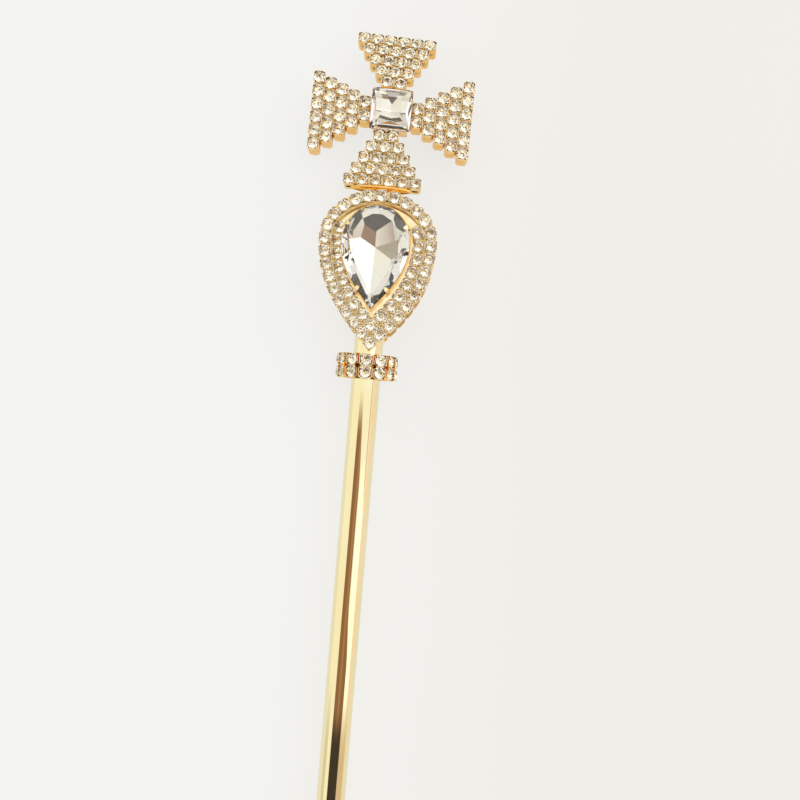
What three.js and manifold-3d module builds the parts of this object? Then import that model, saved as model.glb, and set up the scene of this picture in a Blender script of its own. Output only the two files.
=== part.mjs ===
// Pageant sceptre: a polished, gold-plated tube that carries a rhinestone head.
//
// The head is a cross pattee of four stone-set arms round a square crystal, above a pair of drop-shaped
// panels that hold the tube between them. The front panel frames a large pear crystal, the back one a
// plain plate, and a stone-set collar closes the joint below them.
//
// Units are millimetres. The sceptre lies on its back: +Y runs along the tube towards the head, +Z is up
// and is the side that the head faces, and X runs across. In the modelling frame the tube's axis is the
// Y axis and the collar's middle is at Y = 0. The group is then lifted so that the piece rests on Z = 0,
// with the middle of its footprint at the origin.

import * as THREE from 'three';
import { mergeVertices } from 'three/addons/utils/BufferGeometryUtils.js';
import Module from 'manifold-3d';

const wasm = await Module();
wasm.setup();

// ---------------------------------------------------------------- driving dimensions

const TUBE_RADIUS = 4.25;
const TUBE_WALL = 0.9;
const TUBE_TOP_Y = 52.0;
const TUBE_END_Y = -274.0;
const TUBE_SIDES = 40;

const KNOB_END_Y = -284.0;
const SLEEVE_DEPTH = 6.0;
const SLEEVE_WALL = 1.1;
const SLEEVE_RIM = 0.6;
const KNOB_SIDES = 28;
const KNOB_ARC_STEPS = 10;
const KNOB_FLAT_DIP = 0.15;

// The rows are closer set on the panels than on the arms, whose cups are soldered side by side.
const PANEL_PITCH = 3.74;
const ARM_PITCH = 3.86;
const STONE_SIDES = 6;
const STONE_FOOT_RADIUS = 1.55;
const STONE_TABLE_RADIUS = 1.0;
const STONE_RISE = 0.95;
const STONE_ROOT = 0.1;
const CUP_DEPTH = 1.85;
const EDGE_MARGIN = 1.72;

const JOINT_GAP = 0.3;

// The head is as deep in front of the tube's axis as behind it, and so is the collar.
const HALF_DEPTH = 8.1;
const CROSS_CORE = 0.7;

// How a drop's sides curve, as shares of its lower height, its upper height and its half width.
const DROP_SWELL = 0.42;
const DROP_SHOULDER = 0.55;
const DROP_CREST = 0.52;
const PANEL = {
  shift: 0.5,
  tip: 4.2,
  widest: 36.0,
  top: 50.2,
  halfWidth: 16.9,
  tipHalfAngle: 45.0,
};
const PEAR = {
  shift: 0.0,
  tip: 16.1,
  widest: 35.0,
  top: 45.5,
  halfWidth: 9.6,
  tipHalfAngle: 39.5,
};
const OUTER_ROW_INSET = 1.75;
const INNER_ROW_INSET = 5.35;
const INNER_ROW_TOP_Y = 41.0;

const PEAR_WALL = 0.45;
const PEAR_FLOOR = 0.6;
const GIRDLE_CLEARANCE = 0.15;
const PEAR_PAVILION = 2.7;
const PEAR_GIRDLE = 0.5;
const PEAR_CROWN = 1.7;
const PEAR_TABLE_SCALE = 0.62;
const PEAR_CULET_SCALE = 0.3;
const PEAR_SEAT_SCALE = 0.36;
const PEAR_MIDDLE_Y = 28.05;
const PRONG_WIDTH = 1.5;
const PRONG_REACH = 1.4;
const PRONG_HEIGHTS_Y = [21.4, 39.6];
const PRONG_ROOT = 0.5;
const PRONG_SHOULDER = 0.7;
const PRONG_TIP_THICKNESS = 0.5;
const RIM_STEP = 0.1;

const CROSS_CENTRE = [0.95, 74.6];
const SQUARE_SIDE = 11.8;
const SQUARE_TURN = -1.0;
const SQUARE_CROWN = 1.5;
const SQUARE_GIRDLE = 0.5;
const SQUARE_PAVILION = 1.9;
const SQUARE_TABLE_SCALE = 0.55;
const SQUARE_STEM_SIDE = 10.2;
const SQUARE_RIM_HEIGHT = 0.9;
const SQUARE_RIM_WALL = 0.4;
const SQUARE_CULET_SIDE = 2.0;

// Each arm: where its first row's middle is from the cross's middle, the step from one row to the next,
// and the angle of its rows. The handwork leaves the arms slightly uneven.
const ARM_ROWS = 5;
const FIRST_ROW_STONES = 2;
const ARMS = [
  { name: 'cross_arm_top', first: [0.1, 8.4], step: [0.0, 3.0], turn: -2.5 },
  { name: 'cross_arm_right', first: [7.6, -0.6], step: [3.56, -0.08], turn: -91.0 },
  { name: 'cross_arm_lower', first: [-0.95, -7.2], step: [0.0, -3.3], turn: 180.0 },
  { name: 'cross_arm_left', first: [-7.8, 0.25], step: [-3.5, -0.4], turn: 89.0 },
];

const COLLAR_STONES = 12;
const COLLAR_ROW_HALF_GAP = 1.8;
const COLLAR_HALF_HEIGHT = 3.7;
const COLLAR_SPREAD = 0.9;

// Tools for cutting reach this far past what they cut.
const OVERCUT = 1.0;

// ---------------------------------------------------------------- colours

const GOLD = new THREE.MeshStandardMaterial({ color: 0xe2b45c, roughness: 0.18, metalness: 1.0 });
const STONE_WORK = new THREE.MeshStandardMaterial({ color: 0xe9d6a6, roughness: 0.25, metalness: 0.8 });
const CRYSTAL = new THREE.MeshStandardMaterial({
  color: 0xf3f4f0, roughness: 0.02, metalness: 0.0, transparent: true, opacity: 0.45,
});

// ---------------------------------------------------------------- solids

/** A three.js geometry as a manifold solid. */
function toSolid(geometry) {
  const bare = geometry.clone();
  bare.deleteAttribute('normal');
  bare.deleteAttribute('uv');
  const merged = mergeVertices(bare, 1e-4);
  return new wasm.Manifold(new wasm.Mesh({
    numProp: 3,
    vertProperties: new Float32Array(merged.attributes.position.array),
    triVerts: new Uint32Array(merged.index.array),
  }));
}

/** A manifold solid back as a three.js geometry. */
function toGeometry(solid) {
  const mesh = solid.getMesh();
  const geometry = new THREE.BufferGeometry();
  geometry.setAttribute('position', new THREE.BufferAttribute(new Float32Array(mesh.vertProperties), 3));
  geometry.setIndex(new THREE.BufferAttribute(new Uint32Array(mesh.triVerts), 1));
  return geometry;
}

/** A flat shape given a thickness between two heights. */
function slab(shape, low, high, curveSegments = 12) {
  const geometry = new THREE.ExtrudeGeometry(shape, {
    depth: high - low, bevelEnabled: false, curveSegments,
  });
  geometry.translate(0, 0, low);
  return geometry;
}

/** A closed solid through rings of equal point counts at rising heights, capped at both ends. */
function facetedStack(rings) {
  const count = rings[0].points.length;
  const positions = [];
  for (const ring of rings) {
    for (const p of ring.points) positions.push(p.x, p.y, ring.z);
  }
  const index = [];
  for (let level = 0; level + 1 < rings.length; level += 1) {
    for (let i = 0; i < count; i += 1) {
      const j = (i + 1) % count;
      const [a, b] = [level * count + i, level * count + j];
      index.push(a, b, b + count, a, b + count, a + count);
    }
  }
  const cap = THREE.ShapeUtils.triangulateShape(rings[0].points, []);
  const topStart = (rings.length - 1) * count;
  for (const [a, b, c] of cap) {
    index.push(a, c, b);
    index.push(topStart + a, topStart + b, topStart + c);
  }
  const geometry = new THREE.BufferGeometry();
  geometry.setAttribute('position', new THREE.Float32BufferAttribute(positions, 3));
  geometry.setIndex(index);
  return geometry;
}

/** A regular polygon's corners, with one corner along +X. */
function polygon(x, y, radius) {
  return Array.from({ length: STONE_SIDES }, (_, i) => {
    const angle = 2 * Math.PI * i / STONE_SIDES;
    return new THREE.Vector2(x + radius * Math.cos(angle), y + radius * Math.sin(angle));
  });
}

/** One foiled stone in its cup: a six-sided crown with a flat table, standing up from height z. */
function stoneCrown(x, y, z, facing = 1) {
  const foot = { z: z - facing * STONE_ROOT, points: polygon(x, y, STONE_FOOT_RADIUS) };
  const table = { z: z + facing * STONE_RISE, points: polygon(x, y, STONE_TABLE_RADIUS) };
  return facetedStack(facing > 0 ? [foot, table] : [table, foot]);
}

/** A base solid with stone crowns standing on it. */
function withStones(base, crowns) {
  const parts = [toSolid(base), ...crowns.map(toSolid)];
  return toGeometry(wasm.Manifold.union(parts));
}

// ---------------------------------------------------------------- drop shapes

/** A drop standing on its point: straight lower sides that swell into a round top. */
function dropShape(drop) {
  const { shift, tip, widest, top, halfWidth, tipHalfAngle } = drop;
  const angle = THREE.MathUtils.degToRad(tipHalfAngle);
  const run = (widest - tip) * DROP_SWELL;
  const lean = [run * Math.sin(angle), tip + run * Math.cos(angle)];
  const sideY = widest - run;
  const shoulderY = widest + (top - widest) * DROP_SHOULDER;
  const crestX = halfWidth * DROP_CREST;
  const [left, right] = [shift - halfWidth, shift + halfWidth];
  const shape = new THREE.Shape();
  shape.moveTo(shift, tip);
  shape.bezierCurveTo(shift + lean[0], lean[1], right, sideY, right, widest);
  shape.bezierCurveTo(right, shoulderY, shift + crestX, top, shift, top);
  shape.bezierCurveTo(shift - crestX, top, left, shoulderY, left, widest);
  shape.bezierCurveTo(left, sideY, shift - lean[0], lean[1], shift, tip);
  return shape;
}

/** The same drop, drawn in or out by a distance. */
function offsetDrop(drop, distance) {
  const angle = THREE.MathUtils.degToRad(drop.tipHalfAngle);
  return {
    ...drop,
    tip: drop.tip - distance / Math.sin(angle),
    top: drop.top + distance,
    halfWidth: drop.halfWidth + distance,
  };
}

/** Points one pitch apart along a drop, starting and ending at its tip. */
function stonePlaces(drop) {
  const shape = dropShape(drop);
  const count = Math.round(shape.getLength() / PANEL_PITCH);
  return shape.getSpacedPoints(count).slice(0, count);
}

/** The stones of one panel: a full outer row and an inner row that stops at the shoulders. */
function panelStones() {
  const outer = stonePlaces(offsetDrop(PANEL, -OUTER_ROW_INSET));
  const inner = stonePlaces(offsetDrop(PANEL, -INNER_ROW_INSET)).filter((p) => p.y < INNER_ROW_TOP_Y);
  return [...outer, ...inner];
}

// ---------------------------------------------------------------- tube, knob and collar

/** A ring or turned piece about the Y axis, from (radius, y) profile points. */
function turned(profile, sides = TUBE_SIDES) {
  return new THREE.LatheGeometry(profile.map(([r, y]) => new THREE.Vector2(r, y)), sides);
}

function makeTube() {
  const bore = TUBE_RADIUS - TUBE_WALL;
  return turned([
    [bore, TUBE_END_Y], [TUBE_RADIUS, TUBE_END_Y], [TUBE_RADIUS, TUBE_TOP_Y], [bore, TUBE_TOP_Y],
    [bore, TUBE_END_Y],
  ]);
}

/** The ball at the lower end, with a sleeve over the tube and a small flat spot to lie on. */
function makeKnob() {
  const ballRadius = HALF_DEPTH + KNOB_FLAT_DIP;
  const ballY = KNOB_END_Y + ballRadius;
  const sleeveInner = TUBE_RADIUS + JOINT_GAP;
  const sleeveOuter = sleeveInner + SLEEVE_WALL;
  const seatY = TUBE_END_Y - JOINT_GAP;
  const mouthY = seatY + SLEEVE_DEPTH;
  const neckAngle = Math.acos(sleeveOuter / ballRadius);
  const profile = [[0, KNOB_END_Y]];
  for (let i = 1; i <= KNOB_ARC_STEPS; i += 1) {
    const angle = -Math.PI / 2 + (Math.PI / 2 + neckAngle) * i / KNOB_ARC_STEPS;
    profile.push([ballRadius * Math.cos(angle), ballY + ballRadius * Math.sin(angle)]);
  }
  profile.push([sleeveOuter, mouthY - 3 * SLEEVE_RIM], [sleeveOuter + SLEEVE_RIM, mouthY - 2 * SLEEVE_RIM]);
  profile.push([sleeveOuter + SLEEVE_RIM, mouthY - SLEEVE_RIM / 2], [sleeveOuter + SLEEVE_RIM / 2, mouthY]);
  profile.push([sleeveInner, mouthY], [sleeveInner, seatY], [0, seatY]);
  const ball = toSolid(turned(profile, KNOB_SIDES));
  const below = new THREE.BoxGeometry(2 * ballRadius, 2 * ballRadius, 2 * OVERCUT);
  below.translate(0, ballY, -HALF_DEPTH - OVERCUT);
  return toGeometry(ball.subtract(toSolid(below)));
}

/** A band round the tube that carries two rows of stones. It is a little wider across than it is deep. */
function makeCollar() {
  const inner = TUBE_RADIUS + JOINT_GAP;
  const apothem = HALF_DEPTH - STONE_RISE;
  const outer = apothem / Math.cos(Math.PI / COLLAR_STONES);
  const band = turned([
    [inner, -COLLAR_HALF_HEIGHT], [outer, -COLLAR_HALF_HEIGHT], [outer, COLLAR_HALF_HEIGHT],
    [inner, COLLAR_HALF_HEIGHT], [inner, -COLLAR_HALF_HEIGHT],
  ], COLLAR_STONES);
  band.rotateY(Math.PI / COLLAR_STONES);
  band.scale(1 + COLLAR_SPREAD / apothem, 1, 1);
  const crowns = [];
  for (let row = -1; row <= 1; row += 2) {
    for (let i = 0; i < COLLAR_STONES; i += 1) {
      const crown = stoneCrown(0, row * COLLAR_ROW_HALF_GAP, apothem);
      const angle = 2 * Math.PI * i / COLLAR_STONES;
      crown.rotateY(angle);
      crown.translate(COLLAR_SPREAD * Math.sin(angle), 0, 0);
      crowns.push(crown);
    }
  }
  return withStones(band, crowns);
}

// ---------------------------------------------------------------- panels and the pear crystal

/** The front panel: a backing plate and cups round the opening for the pear crystal's setting. */
function makeFrontPanel() {
  const low = TUBE_RADIUS + JOINT_GAP;
  const high = HALF_DEPTH - STONE_RISE;
  const crowns = panelStones().map((p) => stoneCrown(p.x, p.y, high));
  const panel = toSolid(withStones(slab(dropShape(PANEL), low, high, 10), crowns));
  const hole = dropShape(offsetDrop(PEAR, PEAR_WALL + JOINT_GAP));
  const opening = slab(hole, low - OVERCUT, HALF_DEPTH + OVERCUT, 10);
  return toGeometry(panel.subtract(toSolid(opening)));
}

/** The back panel: the same rows of stones round a plain raised plate, which the head lies on. */
function makeBackPanel() {
  const low = -(HALF_DEPTH - STONE_RISE);
  const high = -(TUBE_RADIUS + JOINT_GAP);
  const crowns = panelStones().map((p) => stoneCrown(p.x, p.y, low, -1));
  const plate = slab(dropShape(PEAR), -HALF_DEPTH, low + STONE_ROOT, 8);
  return withStones(slab(dropShape(PANEL), low, high, 10), [plate, ...crowns]);
}

/** Points of the pear outline, scaled about its middle. */
function pearOutline(scale, segments = 5) {
  const middle = new THREE.Vector2(PEAR.shift, PEAR_MIDDLE_Y);
  const points = dropShape(PEAR).getPoints(segments);
  points.pop();
  return points.map((p) => p.clone().sub(middle).multiplyScalar(scale).add(middle));
}

const PEAR_SEAT_Z = TUBE_RADIUS + JOINT_GAP + PEAR_FLOOR;
const PEAR_GIRDLE_Z = PEAR_SEAT_Z + JOINT_GAP + PEAR_PAVILION;

/** The pear crystal: a pavilion, a thin girdle and a crown with a broad table. */
function makePearCrystal() {
  const base = PEAR_SEAT_Z + JOINT_GAP;
  return facetedStack([
    { z: base, points: pearOutline(PEAR_CULET_SCALE) },
    { z: PEAR_GIRDLE_Z, points: pearOutline(1.0) },
    { z: PEAR_GIRDLE_Z + PEAR_GIRDLE, points: pearOutline(1.0) },
    { z: PEAR_GIRDLE_Z + PEAR_GIRDLE + PEAR_CROWN, points: pearOutline(PEAR_TABLE_SCALE) },
  ]);
}

/** One prong: a claw that rises from the setting's wall and bends in over the crown. */
function makeProng(side, y) {
  const points = dropShape(PEAR).getSpacedPoints(240);
  const nearest = (a, b) => (Math.abs(a.y - y) < Math.abs(b.y - y) ? a : b);
  const foot = points.filter((p) => (p.x - PEAR.shift) * side > 0).reduce(nearest);
  const next = points[(points.indexOf(foot) + 1) % points.length];
  const outward = Math.atan2(next.y - foot.y, next.x - foot.x) - Math.PI / 2;
  const crownSlope = PEAR_CROWN / ((1 - PEAR_TABLE_SCALE) * PEAR.halfWidth);
  const girdleTop = PEAR_GIRDLE_Z + PEAR_GIRDLE;
  const tipZ = girdleTop + JOINT_GAP + PRONG_REACH * crownSlope;
  const [inner, outer] = [GIRDLE_CLEARANCE, PEAR_WALL];
  const footZ = PEAR_GIRDLE_Z - PRONG_ROOT;
  const profile = new THREE.Shape([
    [inner, footZ],
    [outer, footZ],
    [outer, girdleTop + PRONG_SHOULDER],
    [RIM_STEP - PRONG_REACH, tipZ + RIM_STEP + PRONG_TIP_THICKNESS],
    [-PRONG_REACH, tipZ + RIM_STEP],
    [inner, girdleTop + JOINT_GAP],
  ].map(([out, z]) => new THREE.Vector2(out, z)));
  const prong = slab(profile, -PRONG_WIDTH / 2, PRONG_WIDTH / 2);
  prong.rotateX(Math.PI / 2);
  prong.rotateZ(outward);
  prong.translate(foot.x, foot.y, 0);
  return prong;
}

/** The pear crystal's gold tray, with a wall round the girdle and four prongs bent over it. */
function makePearSetting() {
  const floorZ = TUBE_RADIUS + JOINT_GAP;
  const rimZ = PEAR_GIRDLE_Z + RIM_STEP;
  const body = toSolid(slab(dropShape(offsetDrop(PEAR, PEAR_WALL)), floorZ, rimZ, 10));
  const hollow = toSolid(facetedStack([
    { z: PEAR_SEAT_Z, points: pearOutline(PEAR_SEAT_SCALE, 10) },
    { z: PEAR_GIRDLE_Z - 2 * RIM_STEP, points: pearOutline(1.0, 10) },
    { z: rimZ + OVERCUT, points: pearOutline(1.0, 10) },
  ]));
  const girdleRoom = dropShape(offsetDrop(PEAR, GIRDLE_CLEARANCE));
  const clearance = hollow.add(toSolid(slab(girdleRoom, PEAR_GIRDLE_Z - JOINT_GAP, rimZ + OVERCUT, 10)));
  const tray = body.subtract(clearance);
  const prongs = PRONG_HEIGHTS_Y.flatMap((y) => [makeProng(-1, y), makeProng(1, y)]);
  return toGeometry(wasm.Manifold.union([tray, ...prongs.map(toSolid)]));
}

// ---------------------------------------------------------------- cross

/** One arm: stepped rows of cups, two layers back to back, stones on both faces. */
function makeArm(arm) {
  const turn = THREE.MathUtils.degToRad(arm.turn);
  const along = new THREE.Vector2(Math.cos(turn), Math.sin(turn));
  const outward = new THREE.Vector2(-Math.sin(turn), Math.cos(turn));
  const step = new THREE.Vector2(...arm.step);
  const first = new THREE.Vector2(...arm.first).add(new THREE.Vector2(...CROSS_CENTRE));
  const rise = step.dot(outward);
  const trayTop = CROSS_CORE / 2 + CUP_DEPTH;
  const place = (across, out) => first.clone().addScaledVector(along, across).addScaledVector(outward, out);
  const right = [];
  const left = [];
  const crowns = [];
  for (let row = 0; row < ARM_ROWS; row += 1) {
    const drift = step.dot(along) * row;
    const stones = FIRST_ROW_STONES + row;
    const half = (stones - 1) * ARM_PITCH / 2 + EDGE_MARGIN;
    const low = row === 0 ? -EDGE_MARGIN : rise * (row - 0.5);
    const high = row === ARM_ROWS - 1 ? rise * row + EDGE_MARGIN : rise * (row + 0.5);
    right.push(place(drift + half, low), place(drift + half, high));
    left.push(place(drift - half, low), place(drift - half, high));
    for (let i = 0; i < stones; i += 1) {
      const p = place(drift + (i - (stones - 1) / 2) * ARM_PITCH, rise * row);
      crowns.push(stoneCrown(p.x, p.y, trayTop), stoneCrown(p.x, p.y, -trayTop, -1));
    }
  }
  const outline = new THREE.Shape([...right, ...left.reverse()]);
  return withStones(slab(outline, -trayTop, trayTop), crowns);
}

/** A square's corners, turned as the setting is, about the cross's middle. */
function squareOutline(side) {
  const turn = THREE.MathUtils.degToRad(SQUARE_TURN);
  return [[1, -1], [1, 1], [-1, 1], [-1, -1]].map(([x, y]) => new THREE.Vector2(x * side / 2, y * side / 2)
    .rotateAround(new THREE.Vector2(0, 0), turn)
    .add(new THREE.Vector2(...CROSS_CENTRE)));
}

const SQUARE_RIM_Z = CROSS_CORE / 2 + CUP_DEPTH + STONE_RISE + JOINT_GAP;

/** The square setting: a stem between the arms, a plain plate behind, and a tray on the front. */
function makeSquareSetting() {
  const plateZ = -(CROSS_CORE / 2 + CUP_DEPTH + STONE_RISE);
  const block = facetedStack([
    { z: plateZ, points: squareOutline(SQUARE_STEM_SIDE) },
    { z: SQUARE_RIM_Z - SQUARE_RIM_HEIGHT, points: squareOutline(SQUARE_STEM_SIDE) },
    { z: SQUARE_RIM_Z, points: squareOutline(SQUARE_SIDE) },
  ]);
  const recess = facetedStack([
    { z: SQUARE_RIM_Z - SQUARE_PAVILION, points: squareOutline(SQUARE_CULET_SIDE + SQUARE_RIM_WALL) },
    { z: SQUARE_RIM_Z + RIM_STEP, points: squareOutline(SQUARE_SIDE - 2 * SQUARE_RIM_WALL) },
  ]);
  return toGeometry(toSolid(block).subtract(toSolid(recess)));
}

/** The square crystal: a shallow pavilion, a girdle and a crown with a square table. */
function makeSquareCrystal() {
  const girdleZ = SQUARE_RIM_Z + JOINT_GAP;
  return facetedStack([
    { z: girdleZ - SQUARE_PAVILION, points: squareOutline(SQUARE_CULET_SIDE) },
    { z: girdleZ, points: squareOutline(SQUARE_SIDE - 2 * SQUARE_RIM_WALL - RIM_STEP) },
    { z: girdleZ + SQUARE_GIRDLE, points: squareOutline(SQUARE_SIDE) },
    { z: girdleZ + SQUARE_GIRDLE + SQUARE_CROWN, points: squareOutline(SQUARE_SIDE * SQUARE_TABLE_SCALE) },
  ]);
}

// ---------------------------------------------------------------- assembly

const sceptre = new THREE.Group();

function addPiece(name, geometry, material) {
  const mesh = new THREE.Mesh(geometry, material);
  mesh.name = name;
  sceptre.add(mesh);
}

addPiece('shaft_tube', makeTube(), GOLD);
addPiece('end_knob', makeKnob(), GOLD);
addPiece('collar', makeCollar(), STONE_WORK);
addPiece('front_panel', makeFrontPanel(), STONE_WORK);
addPiece('back_panel', makeBackPanel(), STONE_WORK);
addPiece('pear_setting', makePearSetting(), GOLD);
addPiece('pear_crystal', makePearCrystal(), CRYSTAL);
for (const arm of ARMS) addPiece(arm.name, makeArm(arm), STONE_WORK);
addPiece('square_setting', makeSquareSetting(), GOLD);
addPiece('square_crystal', makeSquareCrystal(), CRYSTAL);

const bounds = new THREE.Box3().setFromObject(sceptre);
sceptre.position.set(
  -(bounds.min.x + bounds.max.x) / 2,
  -(bounds.min.y + bounds.max.y) / 2,
  -bounds.min.z,
);

export default sceptre;
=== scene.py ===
"""Pageant sceptre: the finished look of every piece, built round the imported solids.

Lengths in the properties are metres, as Blender shows them. The shapes are modelled in millimetres in
the sceptre's own frame, with the collar's middle on the tube's axis as origin, +Y towards the head and
+Z on the side that the head faces. Each finished mesh is then put in the row frame, in metres.
"""

import math
import random

import bmesh
import bpy
from bpy.props import FloatProperty, FloatVectorProperty, IntProperty, PointerProperty
from mathutils import Matrix, Vector


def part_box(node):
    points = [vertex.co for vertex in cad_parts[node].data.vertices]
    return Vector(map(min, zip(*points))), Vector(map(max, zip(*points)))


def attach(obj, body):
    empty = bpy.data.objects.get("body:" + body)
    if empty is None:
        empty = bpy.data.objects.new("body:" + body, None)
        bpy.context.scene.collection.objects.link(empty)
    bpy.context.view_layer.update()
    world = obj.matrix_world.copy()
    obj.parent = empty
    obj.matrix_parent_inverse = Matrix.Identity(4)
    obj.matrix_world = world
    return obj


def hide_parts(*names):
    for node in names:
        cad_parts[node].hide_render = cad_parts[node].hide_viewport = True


bl_info = {
    "name": "Pageant Sceptre",
    "version": (1, 0, 0),
    "blender": (4, 5, 0),
    "location": "3D View > Sidebar > Sceptre",
    "description": "Builds a gold-plated sceptre with a rhinestone cross, panels and collar",
    "category": "Add Mesh",
}

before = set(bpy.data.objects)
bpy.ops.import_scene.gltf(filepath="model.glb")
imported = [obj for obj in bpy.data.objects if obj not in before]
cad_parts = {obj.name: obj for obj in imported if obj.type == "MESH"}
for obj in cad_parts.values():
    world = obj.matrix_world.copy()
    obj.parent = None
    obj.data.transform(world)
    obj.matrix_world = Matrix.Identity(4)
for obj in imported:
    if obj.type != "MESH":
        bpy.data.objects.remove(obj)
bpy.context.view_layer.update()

# ---------------------------------------------------------------- sizes taken from the frame

MM = 0.001
TUBE_LOW, TUBE_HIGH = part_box("shaft_tube")
COLLAR_LOW, COLLAR_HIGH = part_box("collar")
KNOB_LOW, KNOB_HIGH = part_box("end_knob")
ORIGIN = Vector((
    (TUBE_LOW.x + TUBE_HIGH.x) / 2,
    (COLLAR_LOW.y + COLLAR_HIGH.y) / 2,
    (TUBE_LOW.z + TUBE_HIGH.z) / 2,
))
TO_ROW = Matrix.Translation(ORIGIN) @ Matrix.Scale(MM, 4)

TUBE_RADIUS = (TUBE_HIGH.z - TUBE_LOW.z) / 2 / MM
TUBE_TOP_Y = (TUBE_HIGH.y - ORIGIN.y) / MM
TUBE_END_Y = (TUBE_LOW.y - ORIGIN.y) / MM
KNOB_END_Y = (KNOB_LOW.y - ORIGIN.y) / MM
KNOB_MOUTH_Y = (KNOB_HIGH.y - ORIGIN.y) / MM
HALF_DEPTH = ORIGIN.z / MM
COLLAR_HALF_HEIGHT = (COLLAR_HIGH.y - COLLAR_LOW.y) / 2 / MM

JOINT_GAP = 0.3
CROSS_CORE = 0.7
SEAM = 0.06
ARM_CUP_GAP = 0.26
# Solder fills the gaps between the cups to this far below their rims.
SOLDER_DIP = 0.45
SOLDER_WIDTH = 0.7
KNOB_FLAT_DIP = 0.15
TUBE_WALL = 0.9
# The depth of a cup and of its stone's crown in the solids, from which the cross's middle takes its height.
SOLID_CUP_DEPTH = 1.85
SOLID_STONE_RISE = 0.95

# ---------------------------------------------------------------- the head's layout

PANEL = {"shift": 0.5, "tip": 4.2, "widest": 36.0, "top": 50.2, "half_width": 16.9, "tip_angle": 45.0}
PEAR = {"shift": 0.0, "tip": 16.1, "widest": 35.0, "top": 45.5, "half_width": 9.6, "tip_angle": 39.5}
# How a drop's sides curve, as shares of its lower height, its upper height and its half width.
DROP_SWELL = 0.42
DROP_SHOULDER = 0.55
DROP_CREST = 0.52
OUTLINE_STEPS = 16
FINE_OUTLINE_STEPS = 60
OUTER_ROW_INSET = 1.75
INNER_ROW_INSET = 5.35
INNER_ROW_TOP_Y = 41.0

CROSS_CENTRE = Vector((0.95, 74.6))
ARM_ROWS = 5
FIRST_ROW_STONES = 2
ARMS = {
    "cross_arm_top": {"first": (0.1, 8.4), "step": (0.0, 3.0), "turn": -2.5},
    "cross_arm_right": {"first": (7.6, -0.6), "step": (3.56, -0.08), "turn": -91.0},
    "cross_arm_lower": {"first": (-0.95, -7.2), "step": (0.0, -3.3), "turn": 180.0},
    "cross_arm_left": {"first": (-7.8, 0.25), "step": (-3.5, -0.4), "turn": 89.0},
}
COLLAR_STONES = 12
COLLAR_ROW_HALF_GAP = 1.8
COLLAR_SPREAD = 0.9
COLLAR_CUP_SIZE = (3.95, 3.52)

# The gold strip over the tube's top end.
JOINT_CENTRE = (0.0, TUBE_TOP_Y - 0.5, TUBE_RADIUS - 1.25)
JOINT_HALF_SIZE = (9.0, 1.2, 2.1)

SQUARE_SIDE = 11.8
SQUARE_TURN = -1.0

PANEL_CUP_ROOT = 0.55
PANEL_EDGE_INSET = 0.45
SLAB_OVERLAP = 0.05
PANEL_LEDGE_Z = 5.7
PEAR_WALL = 0.45
PEAR_GIRDLE_Z = 8.15
PRONG_HEIGHTS_Y = (21.4, 39.6)


# ---------------------------------------------------------------- properties

# What every colour property shares.
COLOUR = {"subtype": "COLOR", "size": 3, "min": 0.0, "max": 1.0}


class SceptreStoneSettings(bpy.types.PropertyGroup):
    """Sizes of the cup chain"""

    pitch: FloatProperty(
        name="Pitch", description="Distance from one stone to the next along a panel's row",
        default=0.00374, min=0.001, unit="LENGTH")
    arm_pitch: FloatProperty(
        name="Arm pitch", description="Distance from one stone to the next along a cross arm's row",
        default=0.00386, min=0.001, unit="LENGTH")
    stone_radius: FloatProperty(
        name="Stone radius", description="Radius of a stone at its girdle",
        default=0.00169, min=0.0005, unit="LENGTH")
    table_share: FloatProperty(
        name="Table share", description="Width of a stone's table as a share of its girdle",
        default=0.52, min=0.2, max=0.9, subtype="FACTOR")
    crown_height: FloatProperty(
        name="Crown height", description="Height of a stone above its girdle",
        default=0.00062, min=0.0001, unit="LENGTH")
    pavilion_depth: FloatProperty(
        name="Pavilion depth", description="Depth of a stone below its girdle",
        default=0.00125, min=0.0002, unit="LENGTH")
    cup_width: FloatProperty(
        name="Cup width", description="Width of a cup across its flat sides",
        default=0.00346, min=0.001, unit="LENGTH")
    cup_depth: FloatProperty(
        name="Cup depth", description="Depth of a cup from rim to base",
        default=0.00212, min=0.0005, unit="LENGTH")
    height: FloatProperty(
        name="Set height", description="Height of a set stone's table above the base of its cup",
        default=0.0028, min=0.001, unit="LENGTH")
    wobble: FloatProperty(
        name="Wobble", description="How far a hand-set stone leans at most",
        default=math.radians(8.0), min=0.0, subtype="ANGLE")
    seed: IntProperty(
        name="Seed", description="Number that fixes how the stones lean", default=11, min=0)


class SceptreFinishSettings(bpy.types.PropertyGroup):
    """Colours of the metals, stones and crystals"""

    tube_gold: FloatVectorProperty(
        name="Tube gold", description="Colour of the polished tube and knob",
        default=(0.89, 0.81, 0.52), **COLOUR)
    # Painted highlight: the pale gold of the rims and prongs stands for the light that these faces catch
    # from above, beside the deeper gold of the walls.
    rim_highlight_gold: FloatVectorProperty(
        name="Rim gold", description="Colour of the cups' rims and prongs, where the plate is worn pale",
        default=(0.96, 0.85, 0.58), **COLOUR)
    wall_gold: FloatVectorProperty(
        name="Wall gold", description="Colour of the cups' walls, the panels and the settings",
        default=(0.92, 0.58, 0.18), **COLOUR)
    solder: FloatVectorProperty(
        name="Solder", description="Colour of the solder and backing between the cups",
        default=(0.84, 0.64, 0.29), **COLOUR)
    rhinestone: FloatVectorProperty(
        name="Rhinestone", description="Colour of the small stones' glass",
        default=(1.0, 0.985, 0.90), **COLOUR)
    foil: FloatVectorProperty(
        name="Foil", description="Colour of the foil behind the small stones",
        default=(1.0, 0.93, 0.72), **COLOUR)
    crystal: FloatVectorProperty(
        name="Crystal", description="Colour of the two big crystals' glass",
        default=(1.0, 1.0, 1.0), **COLOUR)
    silver: FloatVectorProperty(
        name="Silver foil", description="Colour of the foil behind the two big crystals",
        default=(0.93, 0.93, 0.90), **COLOUR)


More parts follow.
